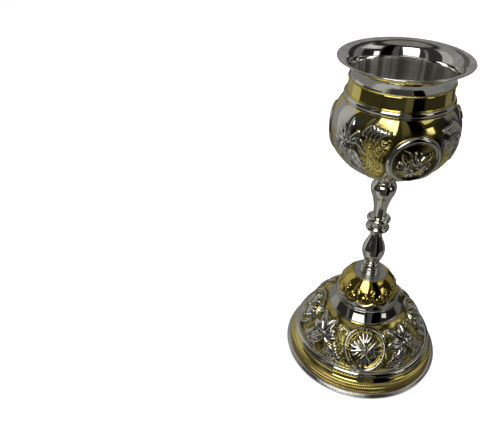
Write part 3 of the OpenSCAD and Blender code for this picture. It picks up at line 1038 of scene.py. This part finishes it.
def make_rope():
    """The twisted gold wire over the base ring."""
    strands = 230
    radius = (rope_top - base_top) / 2
    centre = (high("rope_wire", 0) - radius, base_top + radius)

    def twist(angle, s, r, z):
        return 0.28 * np.abs(np.sin(strands * angle / 2 + 0.55 * s)) - 0.3

    wire = arc(centre, radius, -90, 270, 22)
    turned("rope_fine", wire, gold_rope, FOOT, ["rope_wire"], 1610, None, twist)


def make_base():
    """The milled base ring, with three cuts round it. widest is the run to its greatest radius."""
    edge = base_top / 2
    flat = 8.0
    lines = 300
    widest = flat - edge + edge * math.pi / 2

    def mill(angle, s, r, z):
        skin = soft((r - foot_r + 2.2) / 0.8) * soft((z - 0.25) / 0.5)
        cuts = sum(np.exp(-(((s - widest - cut) / 0.24) ** 2)) for cut in (-0.7, 0.6, 1.9))
        return skin * (0.05 * np.sin(lines * angle + 1.5 * s) - 0.07 - 0.6 * cuts)

    outline = chain((foot_r - flat, 0), (foot_r - edge - 0.5, 0),
                    arc((foot_r - edge, edge), edge, -90, 90, 44), (foot_r - flat, base_top))
    turned("base_ring_fine", outline, silver_edge, FOOT, ["base_ring"], 1500,
           40, mill)


make_liner()
make_bowl()
make_collar()
make_seam()
make_rosette()
make_stem()
make_cap_disc()
make_bell()
make_milled_ring()
make_cone()
make_dome()
make_border()
make_rope()
make_base()

for node in ("stud_plate", "cup_stud", "seat_washer", "tie_rod", "clamp_plate", "lock_washer",
             "foot_nut"):
    for material_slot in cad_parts[node].material_slots:
        material_slot.material = zinc


# ---------- stage, light and camera ----------

def make_floor():
    """A pale floor, as wide as the lamp over it lights evenly. The metal doesn't reflect it."""
    width = 3.2
    bpy.ops.mesh.primitive_plane_add(size=width)
    floor = bpy.context.object
    floor.name = "floor"
    paper = bpy.data.materials.new("pale_paper")
    paper.use_nodes = True
    shader = paper.node_tree.nodes["Principled BSDF"]
    shader.inputs["Base Color"].default_value = (0.9, 0.9, 0.9, 1)
    shader.inputs["Roughness"].default_value = 0.8
    floor.data.materials.append(paper)
    floor.visible_glossy = False


def softbox(name, azimuth, elevation, distance, size, power, glossy=True):
    """A rectangular lamp that faces the chalice's middle; distance and size are in metres."""
    a, e = math.radians(azimuth), math.radians(elevation)
    target = Vector((0, 0, 0.13))
    place = target + distance * Vector((math.cos(a) * math.cos(e), math.sin(a) * math.cos(e),
                                        math.sin(e)))
    data = bpy.data.lights.new(name, "AREA")
    data.shape = "RECTANGLE"
    data.size, data.size_y = size
    data.energy = power
    lamp = bpy.data.objects.new(name, data)
    lamp.location = place
    lamp.rotation_euler = (target - place).to_track_quat("-Z", "Y").to_euler()
    lamp.visible_glossy = glossy
    bpy.context.scene.collection.objects.link(lamp)


def make_world():
    """The plain grey room that the metal reflects, and a white one behind the floor.

    Each patch is an azimuth, an elevation, half its width and half its height in degrees, how
    bright it is, and how soft its edge is in degrees. Later ones cover earlier ones.
    """
    patches = [
        (245, -58, 200, 36, 0.2, 4),  # table
        (222, -40, 16, 20, 0.42, 7),  # table, left
        (236, -66, 34, 22, 0.42, 5),  # table, near the foot
        (274, -32, 28, 20, 0.045, 7),  # shade on the table
        (130, 18, 62, 42, 0.26, 3),  # back wall
        (168, 12, 16, 40, 0.44, 2),  # side wall
        (108, 8, 7, 34, 0.1, 1.5),  # door
        (208, 20, 26, 46, 0.035, 2),  # dark gap, left
        (222, 26, 3.5, 24, 0.2, 1),  # frame in it
        (296, 20, 9, 40, 0.09, 2),  # haze, front
        (314, 22, 13, 70, 0.0, 2),  # dark gap, front
        (8, 16, 15, 14, 0.015, 2),  # dark gap, right
        (35, 8, 14, 50, 0.16, 3),  # wall, right
        (339, 16, 7, 9, 1.3, 1),  # window pane, right
        (5, 46, 30, 8, 0.6, 2),  # lamp, right
        (0, 90, 400, 22, 0.22, 4),  # ceiling
    ]
    room_light = 0.025
    room_tint = (1.0, 0.99, 0.96, 1)
    backdrop = (0.95, 0.95, 0.95, 1)
    world = bpy.data.worlds.new("room")
    bpy.context.scene.world = world
    world.use_nodes = True
    n = Nodes(world.node_tree)

    def band(angle, middle, half, softness):
        """1 within half of a middle angle, and 0 outside it."""
        off = n.math("SUBTRACT", angle, math.radians(middle))
        if angle is around:
            off = n.math("WRAP", off, math.pi, -math.pi)
        return n.span(n.math("ABSOLUTE", off), math.radians(half - softness),
                      math.radians(half + softness), 1, 0, "SMOOTHSTEP")

    around, height = n.turn(n.new("ShaderNodeTexCoord").outputs["Generated"])
    above = n.math("ARCSINE", height)
    light = room_light
    for azimuth, elevation, wide, tall, value, softness in patches:
        mask = n.math("MULTIPLY", band(around, azimuth, wide, softness),
                      band(above, elevation, tall, softness))
        rest = n.math("MULTIPLY", n.math("SUBTRACT", 1.0, mask), light)
        light = n.math("ADD", rest, n.math("MULTIPLY", mask, value))
    room = n.mix(1, light, room_tint, "MULTIPLY")
    seen = n.new("ShaderNodeLightPath").outputs["Is Camera Ray"]
    n.fill(n.tree.nodes["Background"], Color=n.mix(seen, room, backdrop))


def make_camera():
    """far_back and far_up are in heights of the chalice, and the angles in radians."""
    height = lip_z * MM
    far_back, far_up = 1.364, 1.434
    yaw, pitch, roll = -0.283, 0.6037, 0.0012
    forward = Vector((math.sin(yaw) * math.cos(pitch), math.cos(yaw) * math.cos(pitch),
                      -math.sin(pitch)))
    right = Vector((math.cos(yaw), -math.sin(yaw), 0))
    up = right.cross(forward)
    tilted_right = math.cos(roll) * right + math.sin(roll) * up
    tilted_up = math.cos(roll) * up - math.sin(roll) * right
    data = bpy.data.cameras.new("camera")
    data.sensor_width = 36
    data.lens = 38.9
    camera = bpy.data.objects.new("camera", data)
    turn = Matrix((tilted_right, tilted_up, -forward)).transposed()
    place = Matrix.Translation((0, -far_back * height, far_up * height))
    camera.matrix_world = place @ turn.to_4x4()
    bpy.context.scene.collection.objects.link(camera)
    bpy.context.scene.camera = camera


make_floor()
make_world()
for pane, azimuth in (("window_left", 249), ("window_right", 267)):
    softbox(pane, azimuth, 38, 1.4, (0.4, 1.1), 4.2)
softbox("ceiling", 300, 86, 2.2, (2.6, 2.6), 118, glossy=False)
make_camera()
bpy.context.scene.view_settings.view_transform = "Standard"
